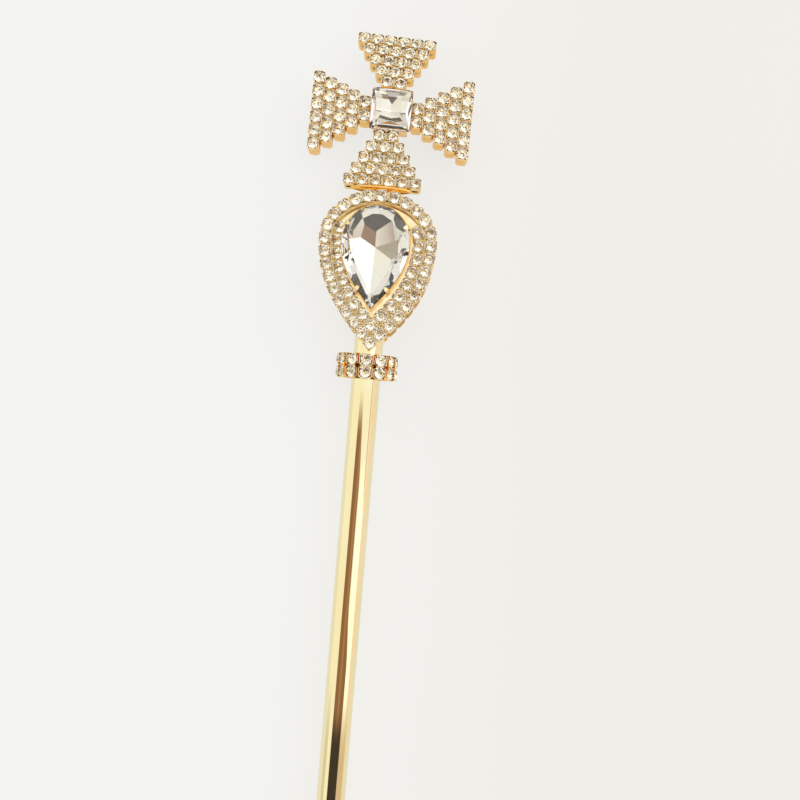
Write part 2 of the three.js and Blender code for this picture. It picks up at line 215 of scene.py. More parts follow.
class SceptreStageSettings(bpy.types.PropertyGroup):
    """Floor, light and camera"""

    floor: FloatVectorProperty(
        name="Floor", description="Colour of the floor",
        default=(0.13, 0.13, 0.131), **COLOUR)
    floor_glow: FloatVectorProperty(
        name="Floor glow", description="Light that the floor gives off, as on a light table",
        default=(0.772, 0.773, 0.753), **COLOUR)
    floor_glow_right: FloatVectorProperty(
        name="Floor glow right", description="The same light on the right, where it is a little warmer",
        default=(0.745, 0.722, 0.694), **COLOUR)
    glow_span: FloatVectorProperty(
        name="Glow span", description="Where across the floor the warmer glow begins and is full",
        default=(-0.02, 0.06), subtype="NONE", unit="LENGTH", size=2)
    light: FloatProperty(
        name="Light", description="Strength of the soft light all round", default=1.08, min=0.0)
    camera_height: FloatProperty(
        name="Camera height", description="Height of the camera above the floor",
        default=0.20525, min=0.01, unit="LENGTH")
    camera_across: FloatProperty(
        name="Camera across", description="How far the camera stands to the right of the tube",
        default=0.01050, unit="LENGTH")
    camera_along: FloatProperty(
        name="Camera along", description="How far the camera stands from the collar, towards the head",
        default=-0.00883, unit="LENGTH")
    camera_roll: FloatProperty(
        name="Camera roll", description="Turn of the picture that makes the sceptre lean",
        default=math.radians(4.8), subtype="ANGLE")
    camera_angle: FloatProperty(
        name="Camera angle", description="Width of the camera's view",
        default=math.radians(61.7), subtype="ANGLE")


# ---------------------------------------------------------------- materials

def new_material(name):
    """A material with an empty node tree, its shader and its output."""
    material = bpy.data.materials.new(name)
    material.use_nodes = True
    nodes = material.node_tree.nodes
    nodes.clear()
    shader = nodes.new("ShaderNodeBsdfPrincipled")
    output = nodes.new("ShaderNodeOutputMaterial")
    material.node_tree.links.new(shader.outputs["BSDF"], output.inputs["Surface"])
    return material, shader


def object_noise(tree, scale, stretch=(1.0, 1.0, 1.0), detail=3.0):
    """A noise texture on Object coordinates, stretched along the piece's own axes."""
    coordinates = tree.nodes.new("ShaderNodeTexCoord")
    mapping = tree.nodes.new("ShaderNodeMapping")
    mapping.inputs["Scale"].default_value = stretch
    noise = tree.nodes.new("ShaderNodeTexNoise")
    noise.inputs["Scale"].default_value = scale
    noise.inputs["Detail"].default_value = detail
    tree.links.new(coordinates.outputs["Object"], mapping.inputs["Vector"])
    tree.links.new(mapping.outputs["Vector"], noise.inputs["Vector"])
    return noise


def ranged(tree, source, low, high, start=0.3, end=0.7):
    """A noise socket's usual span stretched between two numbers."""
    remap = tree.nodes.new("ShaderNodeMapRange")
    remap.inputs["From Min"].default_value = start
    remap.inputs["From Max"].default_value = end
    remap.inputs["To Min"].default_value = low
    remap.inputs["To Max"].default_value = high
    tree.links.new(source, remap.inputs["Value"])
    return remap.outputs["Result"]


def blended(tree, factor, low, high):
    """Two colours mixed by a factor socket."""
    mix = tree.nodes.new("ShaderNodeMix")
    mix.data_type = "RGBA"
    mix.inputs["A"].default_value = (*low, 1.0)
    mix.inputs["B"].default_value = (*high, 1.0)
    tree.links.new(factor, mix.inputs["Factor"])
    return mix.outputs["Result"]


def shade(colour, amount):
    """A colour made darker (below 1) or lighter (above 1)."""
    return tuple(min(1.0, c * amount) for c in colour)


def add_bump(tree, shader, noise, strength, distance):
    """Lets a noise lift the surface a little."""
    bump = tree.nodes.new("ShaderNodeBump")
    bump.inputs["Strength"].default_value = strength
    bump.inputs["Distance"].default_value = distance
    tree.links.new(noise.outputs["Fac"], bump.inputs["Height"])
    tree.links.new(bump.outputs["Normal"], shader.inputs["Normal"])


def mottled(name, metallic, scale, colours, roughness=None, steepness=(0.3, 0.7)):
    """A metal whose colour, and roughness if given, drift between two values with a noise."""
    material, shader = new_material(name)
    tree = material.node_tree
    shader.inputs["Metallic"].default_value = metallic
    noise = object_noise(tree, scale)
    tint = blended(tree, ranged(tree, noise.outputs["Fac"], 0.0, 1.0, *steepness), *colours)
    tree.links.new(tint, shader.inputs["Base Color"])
    if roughness:
        tree.links.new(ranged(tree, noise.outputs["Fac"], *roughness), shader.inputs["Roughness"])
    return material, tree, shader, noise


def polished_gold(name, colour):
    """Mirror gold with faint drawing lines along the tube and a slightly uneven plate."""
    warm = shade((colour[0], colour[1] * 0.965, colour[2] * 0.88), 0.99)
    material, tree, shader, _ = mottled(name, 1.0, 60.0, (colour, warm))
    lines = object_noise(tree, 900.0, (1.0, 0.02, 1.0), 2.0)
    tree.links.new(ranged(tree, lines.outputs["Fac"], 0.035, 0.07), shader.inputs["Roughness"])
    add_bump(tree, shader, lines, 0.05, 0.00005)
    return material


def plated_gold(name, colour):
    """Bright plating on stamped parts: deeper in colour where it lies thicker, and lightly rippled."""
    deep = shade((colour[0], colour[1] * 0.86, colour[2] * 0.62), 0.96)
    material, tree, shader, _ = mottled(name, 1.0, 420.0, (colour, deep), (0.10, 0.24))
    add_bump(tree, shader, object_noise(tree, 1500.0), 0.12, 0.00005)
    return material


def soft_solder(name, colour):
    """Uneven gold-coloured solder that was never polished."""
    tones = (shade(colour, 0.7), shade(colour, 1.25))
    material, tree, shader, grain = mottled(name, 0.7, 700.0, tones, (0.28, 0.48))
    add_bump(tree, shader, grain, 0.3, 0.0001)
    return material


def cut_glass(name, colour, index):
    """Clear cut glass, see-through by the shader's own plain values, hardly clouded in places."""
    material, shader = new_material(name)
    tree = material.node_tree
    cloud = object_noise(tree, 150.0)
    tint = blended(tree, ranged(tree, cloud.outputs["Fac"], 0.0, 1.0), colour, shade(colour, 0.98))
    tree.links.new(tint, shader.inputs["Base Color"])
    shader.inputs["Roughness"].default_value = 0.0
    shader.inputs["IOR"].default_value = index
    shader.inputs["Transmission Weight"].default_value = 1.0
    return material


def mirror_foil(name, colour):
    """Foil behind a big crystal: a mirror that is slightly clouded and warmer in places."""
    warm = (colour[0], colour[1] * 0.94, colour[2] * 0.82)
    return mottled(name, 0.8, 90.0, (colour, warm), (0.03, 0.10))[0]


def speckled_foil(name, colour):
    """Foil behind the small stones: a mirror with dulled spots, which flicker in the stones."""
    dull = (colour[0] * 0.42, colour[1] * 0.34, colour[2] * 0.22)
    return mottled(name, 1.0, 900.0, (colour, dull), (0.03, 0.10), (0.55, 0.59))[0]


def finish_named(name):
    """The material of that name, made the first time it is asked for."""
    found = bpy.data.materials.get(name)
    if found:
        return found
    finish = bpy.context.scene.sceptre_finish
    makers = {
        "tube_gold": lambda: polished_gold(name, finish.tube_gold),
        "rim_highlight_gold": lambda: plated_gold(name, finish.rim_highlight_gold),
        "wall_gold": lambda: plated_gold(name, finish.wall_gold),
        "backing_solder": lambda: soft_solder(name, finish.solder),
        "rhinestone_glass": lambda: cut_glass(name, finish.rhinestone, 1.58),
        "rhinestone_foil": lambda: speckled_foil(name, finish.foil),
        "crystal_glass": lambda: cut_glass(name, finish.crystal, 1.54),
        "crystal_foil": lambda: mirror_foil(name, finish.silver),
    }
    return makers[name]()


# ---------------------------------------------------------------- mesh helpers

def finish_piece(bm, name, materials, nodes=(), smooth_angle=None):
    """Puts a bmesh made in millimetres into the row frame as a finished piece that rides on the body."""
    if not bm.faces:
        raise RuntimeError(f"{name} has no faces")
    bmesh.ops.transform(bm, matrix=TO_ROW, verts=bm.verts)
    mesh = bpy.data.meshes.new(name)
    bm.to_mesh(mesh)
    bm.free()
    for material in materials:
        mesh.materials.append(finish_named(material))
    if smooth_angle is not None:
        mesh.shade_smooth()
        mesh.set_sharp_from_angle(angle=math.radians(smooth_angle))
    piece = bpy.data.objects.new(name, mesh)
    bpy.context.scene.collection.objects.link(piece)
    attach(piece, "root")
    if nodes:
        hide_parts(*nodes)
    return piece


def spun(profile, steps=96):
    """A closed (radius, y) profile turned round the Y axis."""
    bm = bmesh.new()
    verts = [bm.verts.new((radius, y, 0.0)) for radius, y in profile]
    edges = [bm.edges.new(pair) for pair in zip(verts, verts[1:] + verts[:1])]
    bmesh.ops.spin(
        bm, geom=verts + edges, cent=(0, 0, 0), axis=(0, 1, 0), dvec=(0, 0, 0),
        angle=2 * math.pi, steps=steps, use_merge=True)
    bmesh.ops.remove_doubles(bm, verts=bm.verts, dist=1e-4)
    bmesh.ops.dissolve_degenerate(bm, dist=1e-5, edges=bm.edges)
    bmesh.ops.recalc_face_normals(bm, faces=bm.faces)
    return bm


def add_copy(bm, template, matrix):
    """Adds a template mesh to a bmesh, moved by a matrix."""
    start = len(bm.verts)
    bm.from_mesh(template)
    bm.verts.ensure_lookup_table()
    bmesh.ops.transform(bm, matrix=matrix, verts=bm.verts[start:])


def as_mesh(bm, name):
    """Turns a bmesh into a mesh that can be added many times."""
    if not bm.faces:
        raise RuntimeError(f"{name} has no faces")
    mesh = bpy.data.meshes.new(name)
    bm.to_mesh(mesh)
    bm.free()
    return mesh


def add_part(bm, part, material=0):
    """Adds a bmesh to another, with the number of its material, and frees it."""
    for face in part.faces:
        face.material_index = material
    mesh = as_mesh(part, "part")
    bm.from_mesh(mesh)
    bpy.data.meshes.remove(mesh)


def box_part(matrix):
    """A closed box: a unit cube placed by a matrix."""
    bm = bmesh.new()
    bmesh.ops.create_cube(bm, size=1.0, matrix=matrix)
    return bm


def turned_box(middle, turn, size):
    """A closed box of a size round a place on the tube's plane, turned about Z."""
    place = Matrix.Translation((middle.x, middle.y, 0)) @ Matrix.Rotation(turn, 4, "Z")
    return box_part(place @ Matrix.Diagonal((*size, 1)))


def raise_faces(bm, faces, height):
    """Turns flat faces into a closed solid of a height."""
    raised = bmesh.ops.extrude_face_region(bm, geom=faces)
    tops = [v for v in raised["geom"] if isinstance(v, bmesh.types.BMVert)]
    bmesh.ops.translate(bm, verts=tops, vec=(0, 0, height))
    bmesh.ops.recalc_face_normals(bm, faces=bm.faces)


def outline_slab(points, low, high):
    """A flat outline given a thickness."""
    bm = bmesh.new()
    face = bm.faces.new([bm.verts.new((x, y, low)) for x, y in points])
    raise_faces(bm, [face], high - low)
    return bm


def ring_slab(outer, inner, low, high):
    """A flat ring between two outlines of as many points, given a thickness."""
    bm = bmesh.new()
    for points in (outer, inner):
        verts = [bm.verts.new((x, y, low)) for x, y in points]
        for pair in zip(verts, verts[1:] + verts[:1]):
            bm.edges.new(pair)
    ring = bmesh.ops.bridge_loops(bm, edges=bm.edges[:])
    raise_faces(bm, ring["faces"], high - low)
    return bm


def hull_of(rings):
    """The convex solid through rings of (radius, z, corners, start angle)."""
    bm = bmesh.new()
    for radius, z, corners, start in rings:
        if radius == 0.0:
            bm.verts.new((0, 0, z))
        else:
            spin = Matrix.Translation((0, 0, z)) @ Matrix.Rotation(start, 4, "Z")
            bmesh.ops.create_circle(bm, segments=corners, radius=radius, matrix=spin)
    bmesh.ops.delete(bm, geom=bm.edges[:], context="EDGES_FACES")
    bmesh.ops.convex_hull(bm, input=bm.verts[:])
    bmesh.ops.recalc_face_normals(bm, faces=bm.faces)
    return bm


# ---------------------------------------------------------------- drop outlines and stone places

def bezier(a, b, c, d, t):
    """A point on a cubic curve."""
    s = 1.0 - t
    return a * s ** 3 + b * 3 * s * s * t + c * 3 * s * t * t + d * t ** 3


def drop_outline(drop, steps):
    """A drop standing on its point: points from the tip up its right side and round, without a repeat."""
    angle = math.radians(drop["tip_angle"])
    run = (drop["widest"] - drop["tip"]) * DROP_SWELL
    width, crest = drop["half_width"], drop["half_width"] * DROP_CREST
    tip = Vector((0, drop["tip"]))
    lean = Vector((run * math.sin(angle), drop["tip"] + run * math.cos(angle)))
    side = Vector((width, drop["widest"] - run))
    widest = Vector((width, drop["widest"]))
    shoulder = Vector((width, drop["widest"] + (drop["top"] - drop["widest"]) * DROP_SHOULDER))
    brow = Vector((crest, drop["top"]))
    top = Vector((0, drop["top"]))
    right = [bezier(tip, lean, side, widest, i / steps) for i in range(steps)]
    right += [bezier(widest, shoulder, brow, top, i / steps) for i in range(steps)]
    left = [Vector((-p.x, p.y)) for p in reversed(right[1:])]
    shift = Vector((drop["shift"], 0))
    return [p + shift for p in right + [top] + left]


def offset_drop(drop, distance):
    """The same drop, drawn in or out by a distance."""
    lower = distance / math.sin(math.radians(drop["tip_angle"]))
    return {
        **drop,
        "tip": drop["tip"] - lower,
        "top": drop["top"] + distance,
        "half_width": drop["half_width"] + distance,
    }


def evenly_spaced(points, pitch):
    """Points about one pitch apart round a closed outline, with the direction of the outline at each."""
    closed = points + points[:1]
    lengths = [0.0]
    for a, b in zip(closed, closed[1:]):
        lengths.append(lengths[-1] + (b - a).length)
    count = round(lengths[-1] / pitch)
    places = []
    segment = 0
    for i in range(count):
        distance = lengths[-1] * i / count
        while lengths[segment + 1] < distance:
            segment += 1
        a, b = closed[segment], closed[segment + 1]
        share = (distance - lengths[segment]) / (lengths[segment + 1] - lengths[segment])
        places.append((a.lerp(b, share), math.atan2(b.y - a.y, b.x - a.x)))
    return places


def panel_places(pitch):
    """Where a panel's stones go, with the turn of each: outer row, then inner row."""
    outer, inner = (
        evenly_spaced(drop_outline(offset_drop(PANEL, -inset), FINE_OUTLINE_STEPS), pitch)
        for inset in (OUTER_ROW_INSET, INNER_ROW_INSET))
    return outer + [place for place in inner if place[0].y < INNER_ROW_TOP_Y]


def arm_rows(arm, pitch):
    """An arm's rows, each a list of stone places, and the turn of its rows."""
    turn = math.radians(arm["turn"])
    along = Vector((math.cos(turn), math.sin(turn)))
    rows = []
    for row in range(ARM_ROWS):
        middle = CROSS_CENTRE + Vector(arm["first"]) + Vector(arm["step"]) * row
        stones = FIRST_ROW_STONES + row
        rows.append([middle + along * (i - (stones - 1) / 2) * pitch for i in range(stones)])
    return rows, turn


# ---------------------------------------------------------------- cup chain

CUP_CORNER_SHARE = 0.17
CUP_RIM = 0.13
CUP_INNER_LEAN = 0.02
HOLLOW_SHARE = 0.95
STONE_SIDES = 8
HALF_SIDE = math.pi / STONE_SIDES
GIRDLE_HALF = 0.05
# Where a stone's underside breaks, as shares of its radius and of its depth.
BREAK_RADIUS_SHARE = 0.52
BREAK_DEPTH_SHARE = 0.58
FOIL_GAP = 0.03
FOIL_THICKNESS = 0.04
LINK_SHARE = 0.75
RIM, WALL, BACKING = range(3)
UNEVENNESS = 0.05
LEAST_LEAN_SHARE = 0.15
# Each bend of a cup's prong: how far it rises, how far it leans in, and how much narrower it gets.
PRONG_BENDS = ((0.34, 0.06, 0.62), (0.24, 0.30, 0.50))


class CupChain:
    """Meshes for one cup, one stone and its foil, and the pieces that they are added to."""

    def __init__(self, name, node, root=0.0, cup_size=None):
        sizes = bpy.context.scene.sceptre_stones
        self.name = name
        self.node = node
        self.pitch = sizes.pitch / MM
        self.stone_radius = sizes.stone_radius / MM
        self.table_radius = self.stone_radius * sizes.table_share
        self.crown = sizes.crown_height / MM
        self.pavilion = sizes.pavilion_depth / MM
        self.cup_half = sizes.cup_width / MM / 2
        self.cup_size = cup_size or (2 * self.cup_half, 2 * self.cup_half)
        self.root = root
        self.cup_depth = sizes.cup_depth / MM + root
        self.height = sizes.height / MM + root
        self.wobble = sizes.wobble
        self.random = random.Random(f"{name} {sizes.seed}")
        self.cups = bmesh.new()
        self.stones = bmesh.new()
        self.foils = bmesh.new()
        self.cup = self.cup_template()
        self.stone = self.stone_template()
        self.foil = self.foil_template()

    def cup_template(self):
        """An eight-sided cup that stands on z = 0, with four pointed prongs bent in over its rim."""
        bm = bmesh.new()
        side = 2 * self.cup_half
        middle_z = Matrix.Translation((0, 0, self.cup_depth / 2))
        block = middle_z @ Matrix.Diagonal((side, side, self.cup_depth, 1))
        bmesh.ops.create_cube(bm, size=1.0, matrix=block)
        upright_edges = [
            e for e in bm.edges if abs(e.verts[0].co.z - e.verts[1].co.z) > self.cup_depth / 2]
        bmesh.ops.bevel(
            bm, geom=upright_edges, offset=side * CUP_CORNER_SHARE, offset_type="OFFSET", segments=1,
            profile=0.5, affect="EDGES", material=-1)
        top = max(bm.faces, key=lambda f: f.calc_center_median().z)
        rim = bmesh.ops.inset_individual(
            bm, faces=[top], thickness=CUP_RIM, depth=0.0, use_even_offset=True)
        bmesh.ops.inset_individual(
            bm, faces=[top], thickness=CUP_INNER_LEAN, depth=-self.pavilion * HOLLOW_SHARE)
        flaps = []
        for face in rim["faces"]:
            middle = face.calc_center_median()
            if min(abs(middle.x), abs(middle.y)) > self.cup_half / 2:
                flaps.append(face)
        for lift, reach, shrink in PRONG_BENDS:
            flaps = bmesh.ops.extrude_discrete_faces(bm, faces=flaps)["faces"]
            for face in flaps:
                middle = face.calc_center_median()
                inward = Vector((-middle.x, -middle.y, 0)).normalized() * reach
                bmesh.ops.translate(bm, verts=face.verts, vec=inward + Vector((0, 0, lift)))
                bmesh.ops.scale(
                    bm, vec=(shrink, shrink, 1.0), verts=face.verts,
                    space=Matrix.Translation(-face.calc_center_median()))
        bmesh.ops.recalc_face_normals(bm, faces=bm.faces)
        # Faces that face up or down, and the prongs, take the pale rim gold as a painted highlight; the
        # upright walls below the rim take the deeper wall gold, so one gold is drawn as a lit and a darker
        # copy.
        for face in bm.faces:
            below_rim = all(v.co.z < self.cup_depth + 1e-4 for v in face.verts)
            face.material_index = WALL if below_rim and abs(face.normal.z) < 0.5 else RIM
        length, width = self.cup_size
        bmesh.ops.scale(bm, vec=(length / side, width / side, 1.0), verts=bm.verts)
        return as_mesh(bm, "cup_template")

    def stone_template(self):
        """A brilliant with eight sides: table, crown, girdle and pavilion, with its girdle at z = 0."""
        break_radius = self.stone_radius * BREAK_RADIUS_SHARE
        bm = hull_of((
            (self.table_radius, self.crown, STONE_SIDES, HALF_SIDE),
            (self.stone_radius, GIRDLE_HALF, STONE_SIDES, 0.0),
            (self.stone_radius, -GIRDLE_HALF, STONE_SIDES, 0.0),
            (break_radius, -self.pavilion * BREAK_DEPTH_SHARE, STONE_SIDES, HALF_SIDE),
            (0.0, -self.pavilion, 1, 0.0),
        ))
        return as_mesh(bm, "stone_template")

    def foil_template(self):
        """A thin shell just below the stone's pavilion."""
        break_radius = self.stone_radius * BREAK_RADIUS_SHARE
        bm = hull_of((
            (self.stone_radius + FOIL_GAP, -GIRDLE_HALF, STONE_SIDES, 0.0),
            (break_radius, -self.pavilion * BREAK_DEPTH_SHARE - FOIL_GAP, STONE_SIDES, HALF_SIDE),
            (0.0, -self.pavilion - FOIL_GAP, 1, 0.0),
        ))
        bmesh.ops.delete(bm, geom=[f for f in bm.faces if f.normal.z > 0.99], context="FACES")
        bmesh.ops.solidify(bm, geom=bm.faces[:], thickness=-FOIL_THICKNESS)
        bmesh.ops.recalc_face_normals(bm, faces=bm.faces)
        return as_mesh(bm, "foil_template")

    def add(self, place):
        """Adds one set stone; place is the matrix from its seat's frame to the sceptre's.

        Each cup stands a hair higher or lower than the next, as it does where they are soldered by hand.
        """
        lift = self.random.uniform(-0.5, 0.5) * UNEVENNESS - self.root
        place = place @ Matrix.Translation((0, 0, lift))
        add_copy(self.cups, self.cup, place)
        lean_axis = Vector((1, 0, 0))
        lean_axis.rotate(Matrix.Rotation(self.random.uniform(0, 2 * math.pi), 3, "Z"))
        lean = Matrix.Rotation(self.random.uniform(LEAST_LEAN_SHARE, 1.0) * self.wobble, 4, lean_axis)
        turn = Matrix.Rotation(self.random.uniform(0, math.pi / 4), 4, "Z")
        seat = Matrix.Translation((0, 0, self.height - self.crown))
        narrowing = min(1.0, self.cup_size[1] / (2 * self.stone_radius))
        stone = place @ seat @ Matrix.Diagonal((1.0, narrowing, 1.0, 1.0)) @ lean @ turn
        add_copy(self.stones, self.stone, stone)
        add_copy(self.foils, self.foil, stone)

    def add_link(self, place):
        """Adds the solder that joins a cup to the next along a row."""
        height = self.cup_depth - SOLDER_DIP
        width = self.cup_size[1] * LINK_SHARE
        seat = Matrix.Translation((0, 0, height / 2 - self.root))
        bar = seat @ Matrix.Diagonal((SOLDER_WIDTH, width, height, 1))
        add_part(self.cups, box_part(place @ bar), BACKING)

    def finish(self):
        """Makes the three pieces: gold cups, glass stones and their foils."""
        finish_piece(
            self.cups, f"{self.name}_cups", ("rim_highlight_gold", "wall_gold", "backing_solder"),
            (self.node,), 35)
        finish_piece(self.stones, f"{self.name}_rhinestones", ("rhinestone_glass",))
        finish_piece(self.foils, f"{self.name}_foils", ("rhinestone_foil",))
        for mesh in (self.cup, self.stone, self.foil):
            bpy.data.meshes.remove(mesh)


def upright(x, y, z, turn, facing):
    """The matrix of a cup whose base is at (x, y, z), facing up (1) or down (-1)."""
    flip = Matrix.Rotation(0.0 if facing > 0 else math.pi, 4, "X")
    return Matrix.Translation((x, y, z)) @ Matrix.Rotation(turn, 4, "Z") @ flip


# ---------------------------------------------------------------- cutting big crystals

def support(points, direction, centre):
    """How far an outline reaches from its centre in a direction."""
    return max((p - centre).dot(direction) for p in points)


def cut_facet(bm, point, normal):
    """Cuts away everything beyond a plane and closes the cut with one flat facet."""
    cut = bmesh.ops.bisect_plane(
        bm, geom=bm.verts[:] + bm.edges[:] + bm.faces[:], dist=1e-5, plane_co=point, plane_no=normal,
        use_snap_center=False, clear_outer=True, clear_inner=False)
    edges = [e for e in cut["geom_cut"] if isinstance(e, bmesh.types.BMEdge)]
    if len(edges) > 2:
        bmesh.ops.contextual_create(bm, geom=edges)


def unit(azimuth):
    """The direction at an azimuth."""
    return Vector((math.cos(azimuth), math.sin(azimuth)))


def cut_sloped(bm, outline, centre, azimuth, slope, girdle_z, inset=0.0, facing=1):
    """A facet that leans in from the girdle at a slope, facing up (crown) or down (pavilion)."""
    direction = unit(azimuth)
    reach = support(outline, direction, centre) - inset
    point = Vector((*(centre + direction * reach), girdle_z))
    normal = Vector((*(direction * math.sin(slope)), facing * math.cos(slope)))
    cut_facet(bm, point, normal)


def cut_through(bm, point, azimuth, slope):
    """A facet of the underside through a point, rising towards an azimuth at a slope."""
    cut_facet(bm, point, Vector((*(unit(azimuth) * math.sin(slope)), -math.cos(slope))))


CRYSTAL_FOIL_GAP = 0.04
CRYSTAL_FOIL_THICKNESS = 0.08


def foil_under(stone, name):
    """The piece of foil just below a cut crystal's underside."""
    foil = stone.copy()
    upper = [f for f in foil.faces if f.normal.z > -0.05]
    bmesh.ops.delete(foil, geom=upper, context="FACES")
    bmesh.ops.translate(foil, verts=foil.verts, vec=(0, 0, -CRYSTAL_FOIL_GAP))
    bmesh.ops.solidify(foil, geom=foil.faces[:], thickness=-CRYSTAL_FOIL_THICKNESS)
    bmesh.ops.recalc_face_normals(foil, faces=foil.faces)
    finish_piece(foil, name, ("crystal_foil",))


# Each bend of a claw: how far it goes out, how far up, how much further it leans in (degrees), and how
# much narrower it gets.
CLAW_BENDS = (
    (0.06, 0.95, 8, 1.0), (-0.10, 0.55, 22, 0.94), (-0.42, 0.48, 26, 0.88), (-0.62, 0.28, 18, 0.76),
    (-0.48, 0.10, 6, 0.55),
)
CLAW_FOOT = {"out": 0.35, "below_rim": 0.5, "thickness": 0.34, "width": 1.5}
PEAR_CULET = Vector((PEAR["shift"] - 0.2, 33.8))
PEAR_CROWN = 1.7
PEAR_GIRDLE = 0.5
PEAR_PAVILION = 3.25
PEAR_CROWN_FACETS = 12
PEAR_CROWN_SLOPE = 36
PEAR_STAR_SLOPE = 24
PEAR_STAR_RISE = 0.3
PEAR_TRAY = {"bottom_z": 4.6, "floor": 0.2, "below_girdle": 0.1, "out": PEAR_WALL - 0.12, "wall": 0.26}
INNER_DRAFT = 0.02
# Facets of the pear's underside as azimuth and slope in degrees: those that meet at its lowest point, and
# the steeper ones between them and the girdle.
PEAR_MAIN_FACETS = ((55, 14.5), (121.5, 13.95), (172, 13), (235, 12), (302, 12), (0, 13))
PEAR_BREAK_FACETS = (
    (75, 17.5), (105, 17.5), (40, 21), (140, 21), (15, 26), (163, 30), (185, 32), (345, 28),
    (205, 28), (333, 26), (222, 22), (318, 22), (250, 19), (290, 19),
)
SQUARE_CROWN = 1.75
SQUARE_GIRDLE = 0.45
SQUARE_PAVILION = 2.4
# The square's crown facets: turn from the side and slope in degrees, rise above the girdle, and inset.
SQUARE_CROWN_FACETS = ((45, 35, 0.0, 0.9), (0, 40, 0.0, 0.0), (0, 24, 0.75, 0.9))
SQUARE_TRAY = {"stem": 5.1, "rim": 0.9, "spread": 1.15, "wall": 0.35, "draft": 0.6, "depth": 2.5}
# The square's underside in degrees: its corners lean gently to the lowest point, its sides are steep, and
# one side has a gentler facet of its own.
SQUARE_CORNER_SLOPE = 13.5
SQUARE_SIDE_SLOPES = (38, 50, 38, 30)
SQUARE_GENTLE_FACET = {"azimuth": 90, "slope": 16.5, "start": 1.7}


# ---------------------------------------------------------------- pieces

class SceptreOperator(bpy.types.Operator):
    """What every building step shares"""

    bl_options = {"REGISTER", "UNDO"}


TUBE_SIDES = 128
KNOB_SIDES = 96
BAND_SIDES = 72
TUBE_EDGE = 0.12
KNOB_ARC_STEPS = 30
SLEEVE_WALL = 1.1
SLEEVE_PLAY = 0.02
SLEEVE_SEAT_GAP = 0.05
# The sleeve from the ball to its mouth: how far each point is out from its wall and down from its mouth.
SLEEVE_PROFILE = ((0, 1.7), (0.35, 1.6), (0.6, 1.25), (0.6, 0.75), (0.35, 0.4), (0, 0.3), (-0.2, 0))
BAND_INSET = 0.5
BAND_BEVEL = 0.15
BAND_PLAY = 0.01
BAND_OVERLAP = 0.12
PLATE_BEVEL = 0.5


class SCEPTRE_OT_tube(SceptreOperator):
    """Build the polished tube"""

    bl_idname = "sceptre.tube"
    bl_label = "Tube"

    def execute(self, context):
        edge = TUBE_EDGE
        bore = TUBE_RADIUS - TUBE_WALL
        bm = spun([
            (bore, TUBE_END_Y), (TUBE_RADIUS - edge, TUBE_END_Y), (TUBE_RADIUS, TUBE_END_Y + edge),
            (TUBE_RADIUS, TUBE_TOP_Y - edge), (TUBE_RADIUS - edge, TUBE_TOP_Y), (bore, TUBE_TOP_Y),
        ], TUBE_SIDES)
        finish_piece(bm, "polished_tube", ("tube_gold",), ("shaft_tube",), 30)
        return {"FINISHED"}


class SCEPTRE_OT_knob(SceptreOperator):
    """Build the ball and its sleeve at the lower end"""

    bl_idname = "sceptre.knob"
    bl_label = "End knob"

    def execute(self, context):
        radius = HALF_DEPTH + KNOB_FLAT_DIP
        ball_y = KNOB_END_Y + radius
        inner = TUBE_RADIUS + SLEEVE_PLAY
        sleeve = TUBE_RADIUS + JOINT_GAP + SLEEVE_WALL
        seat = TUBE_END_Y - SLEEVE_SEAT_GAP
        neck = math.acos(sleeve / radius)
        profile = [(0.0, KNOB_END_Y)]
        for i in range(1, KNOB_ARC_STEPS + 1):
            angle = -math.pi / 2 + (math.pi / 2 + neck) * i / KNOB_ARC_STEPS
            profile.append((radius * math.cos(angle), ball_y + radius * math.sin(angle)))
        profile += [(sleeve + out, KNOB_MOUTH_Y - down) for out, down in SLEEVE_PROFILE]
        profile += [(inner, KNOB_MOUTH_Y), (inner, seat), (0.0, seat)]
        bm = spun(profile, KNOB_SIDES)
        cut_facet(bm, Vector((0, ball_y, -HALF_DEPTH)), Vector((0, 0, -1)))
        bmesh.ops.recalc_face_normals(bm, faces=bm.faces)
        finish_piece(bm, "ball_knob", ("tube_gold",), ("end_knob",), 9.5)
        return {"FINISHED"}


class SCEPTRE_OT_collar(SceptreOperator):
    """Build the two-row collar round the tube"""

    bl_idname = "sceptre.collar"
    bl_label = "Collar"

    def execute(self, context):
        chain = CupChain("collar", "collar", 0.0, COLLAR_CUP_SIZE)
        base = HALF_DEPTH - chain.height
        for row in (-1, 1):
            for i in range(COLLAR_STONES):
                for turn, add in ((i, chain.add), (i + 0.5, chain.add_link)):
                    angle = 2 * math.pi * turn / COLLAR_STONES
                    spread = Matrix.Translation((COLLAR_SPREAD * math.sin(angle), 0, 0))
                    seat = upright(0, row * COLLAR_ROW_HALF_GAP, base, 0.0, 1)
                    add(spread @ Matrix.Rotation(angle, 4, "Y") @ seat)
        half = COLLAR_HALF_HEIGHT - BAND_INSET
        inner, outer = TUBE_RADIUS + BAND_PLAY, base + BAND_OVERLAP
        band = spun([
            (inner, -half), (outer - BAND_BEVEL, -half), (outer, BAND_BEVEL - half),
            (outer, half - BAND_BEVEL), (outer - BAND_BEVEL, half), (inner, half),
        ], BAND_SIDES)
        bmesh.ops.scale(band, vec=(1 + COLLAR_SPREAD / outer, 1.0, 1.0), verts=band.verts)
        add_part(chain.cups, band, BACKING)
        chain.finish()
        return {"FINISHED"}


